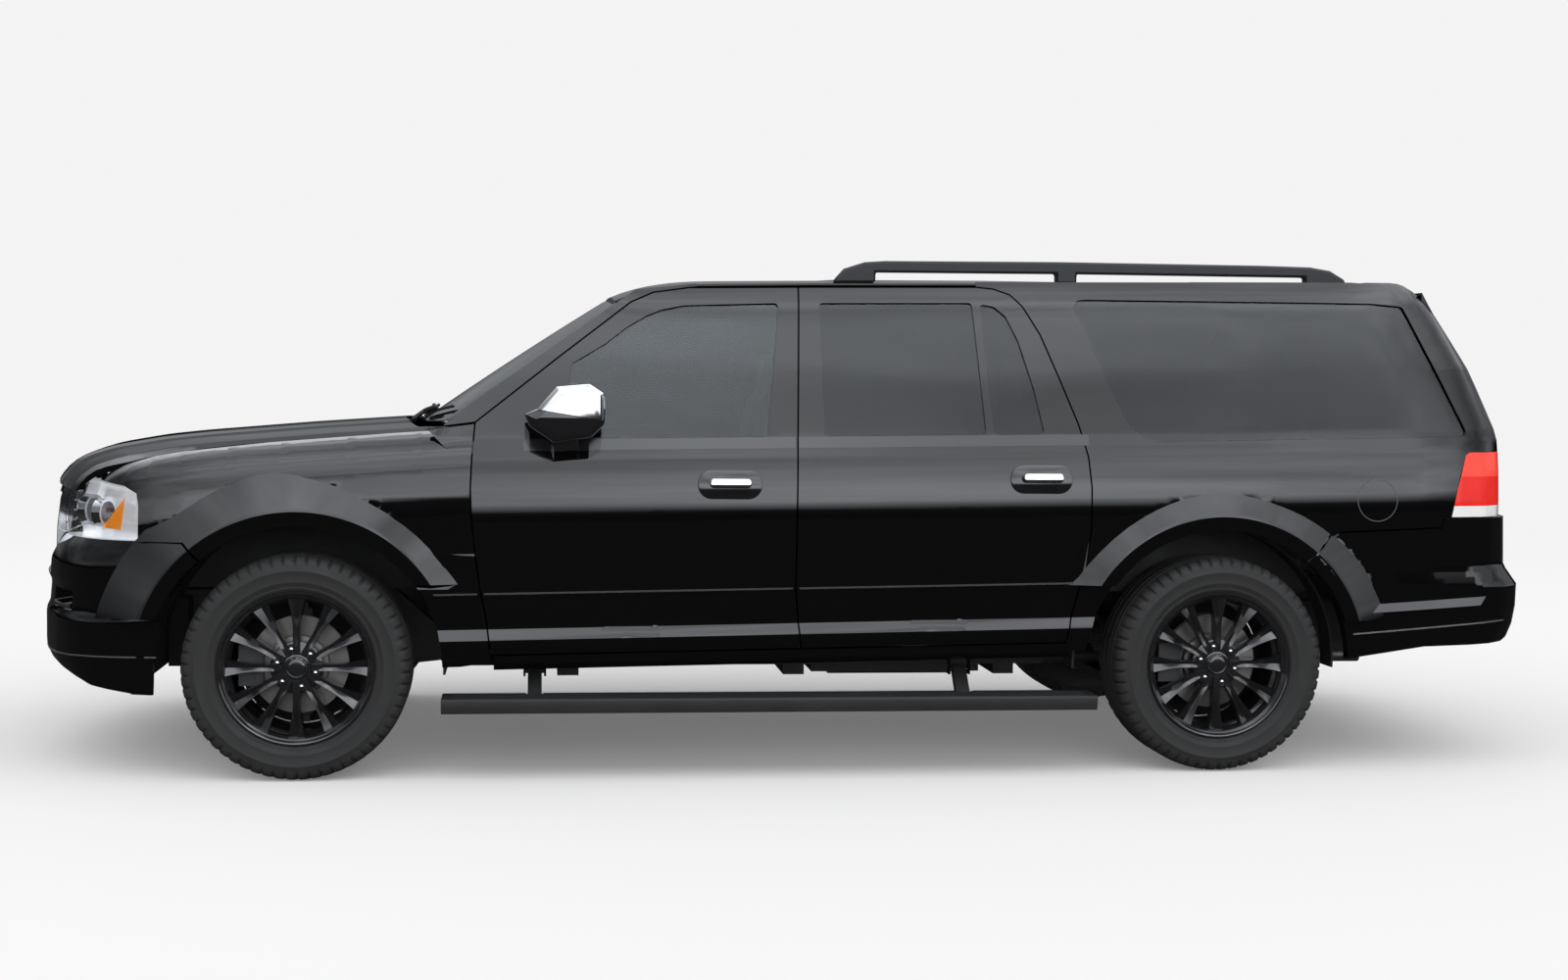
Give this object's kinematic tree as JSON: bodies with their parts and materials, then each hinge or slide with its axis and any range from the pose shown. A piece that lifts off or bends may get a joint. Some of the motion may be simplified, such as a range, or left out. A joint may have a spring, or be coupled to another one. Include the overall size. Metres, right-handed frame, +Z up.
{
  "type": "full-size sport utility vehicle",
  "caption": "Long-wheelbase sport utility vehicle with hinged doors, hood and tailgate, steered front wheels, roof rails and swing-out running boards.",
  "frame": {"origin": "on the ground under the middle of the vehicle's box", "axes": "+X rearward, +Y to the vehicle's right, +Z up"},
  "size_m": [5.646, 2.4394, 1.88],
  "materials": {
    "paint": "gloss black",
    "frame_paint": "satin black",
    "underbody": "satin",
    "cast_metal": "rough",
    "steel": "brushed",
    "plastic": "matte",
    "grille_chrome": "polished",
    "lamp_clear": "clear",
    "lamp_red": "gloss",
    "tinted_glass": "tinted",
    "rail_trim": "satin",
    "interior": "matte",
    "seat_cover": "soft",
    "tyre": "matte",
    "wheel_gloss": "gloss"
  },
  "bodies": {
    "body": {"frame_rails": "frame_paint", "cross_members": "frame_paint", "hitch_receiver": "frame_paint", "floor_pan": "underbody", "front_structure": "underbody", "engine": "cast_metal", "driveline": "cast_metal", "exhaust": "steel", "fuel_tank": "plastic", "suspension_arms": "frame_paint", "body_side_left": "paint", "body_side_right": "paint", "roof_panel": "paint", "fender_left": "paint", "fender_right": "paint", "front_bumper": "paint", "rear_bumper": "paint", "grille": "grille_chrome", "headlamps": "lamp_clear", "tail_lamps": "lamp_red", "fixed_glass": "tinted_glass", "roof_rails": "rail_trim", "wheel_liners": "plastic", "splash_shields": "plastic", "dashboard": "interior", "front_seats": "seat_cover", "middle_seats": "seat_cover", "rear_seats": "seat_cover"},
    "hood": {"hood": "paint"},
    "tailgate": {"tailgate": "paint", "tailgate_glass": "tinted_glass"},
    "front_door_left": {"front_door_left": "paint", "front_glass_left": "tinted_glass", "mirror_left": "plastic"},
    "rear_door_left": {"rear_door_left": "paint", "rear_glass_left": "tinted_glass"},
    "knuckle_left": {"knuckle_left": "cast_metal"},
    "step_arms_left": {"step_arms_left": "frame_paint"},
    "step_board_left": {"step_board_left": "plastic"},
    "wheel_front_left": {"tyre_front_left": "tyre", "rim_front_left": "wheel_gloss"},
    "wheel_rear_left": {"tyre_rear_left": "tyre", "rim_rear_left": "wheel_gloss"},
    "front_door_right": {"front_door_right": "paint", "front_glass_right": "tinted_glass", "mirror_right": "plastic"},
    "rear_door_right": {"rear_door_right": "paint", "rear_glass_right": "tinted_glass"},
    "knuckle_right": {"knuckle_right": "cast_metal"},
    "step_arms_right": {"step_arms_right": "frame_paint"},
    "step_board_right": {"step_board_right": "plastic"},
    "wheel_front_right": {"tyre_front_right": "tyre", "rim_front_right": "wheel_gloss"},
    "wheel_rear_right": {"tyre_rear_right": "tyre", "rim_rear_right": "wheel_gloss"}
  },
  "joints": [
    {"name": "front_door_left_hinge", "type": "hinge", "parent": "body", "child": "front_door_left", "pos_m": [-1.151, -0.979, 0.9], "axis": [0, 0, -1], "range_deg": [0, 68]},
    {"name": "rear_door_left_hinge", "type": "hinge", "parent": "body", "child": "rear_door_left", "pos_m": [-0.001, -0.979, 0.9], "axis": [0, 0, -1], "range_deg": [0, 68]},
    {"name": "front_door_right_hinge", "type": "hinge", "parent": "body", "child": "front_door_right", "pos_m": [-1.151, 0.979, 0.9], "axis": [0, 0, 1], "range_deg": [0, 68]},
    {"name": "rear_door_right_hinge", "type": "hinge", "parent": "body", "child": "rear_door_right", "pos_m": [-0.001, 0.979, 0.9], "axis": [0, 0, 1], "range_deg": [0, 68]},
    {"name": "hood_hinge", "type": "hinge", "parent": "body", "child": "hood", "pos_m": [-1.363, 0, 1.2], "axis": [0, 1, 0], "range_deg": [0, 52]},
    {"name": "tailgate_hinge", "type": "hinge", "parent": "body", "child": "tailgate", "pos_m": [2.379, 0, 1.808], "axis": [0, -1, 0], "range_deg": [0, 84]},
    {"name": "steer_left", "type": "hinge", "parent": "body", "child": "knuckle_left", "pos_m": [-1.811, -0.76, 0.395], "axis": [0, 0, 1], "range_deg": [-34, 34]},
    {"name": "steer_right", "type": "hinge", "parent": "body", "child": "knuckle_right", "pos_m": [-1.811, 0.76, 0.395], "axis": [0, 0, 1], "range_deg": [-34, 34]},
    {"name": "wheel_front_left_spin", "type": "hinge", "parent": "knuckle_left", "child": "wheel_front_left", "pos_m": [-1.811, -0.852, 0.395], "axis": [0, 1, 0], "continuous": true},
    {"name": "wheel_rear_left_spin", "type": "hinge", "parent": "body", "child": "wheel_rear_left", "pos_m": [1.516, -0.852, 0.395], "axis": [0, 1, 0], "continuous": true},
    {"name": "wheel_front_right_spin", "type": "hinge", "parent": "knuckle_right", "child": "wheel_front_right", "pos_m": [-1.811, 0.852, 0.395], "axis": [0, 1, 0], "continuous": true},
    {"name": "wheel_rear_right_spin", "type": "hinge", "parent": "body", "child": "wheel_rear_right", "pos_m": [1.516, 0.852, 0.395], "axis": [0, 1, 0], "continuous": true},
    {"name": "step_left_swing", "type": "hinge", "parent": "body", "child": "step_arms_left", "pos_m": [-0.061, -0.77, 0.356], "axis": [1, 0, 0], "range_deg": [0, 86]},
    {"name": "step_left_level", "type": "hinge", "parent": "step_arms_left", "child": "step_board_left", "pos_m": [-0.061, -0.855, 0.266], "axis": [1, 0, 0], "range_deg": [-86, 0]},
    {"name": "step_right_swing", "type": "hinge", "parent": "body", "child": "step_arms_right", "pos_m": [-0.061, 0.77, 0.356], "axis": [-1, 0, 0], "range_deg": [0, 86]},
    {"name": "step_right_level", "type": "hinge", "parent": "step_arms_right", "child": "step_board_right", "pos_m": [-0.061, 0.855, 0.266], "axis": [-1, 0, 0], "range_deg": [-86, 0]}
  ],
  "couplings": [
    {"joint": "steer_right", "follows": "steer_left", "ratio": 1},
    {"joint": "step_left_level", "follows": "step_left_swing", "ratio": -1},
    {"joint": "step_right_level", "follows": "step_right_swing", "ratio": -1}
  ]
}
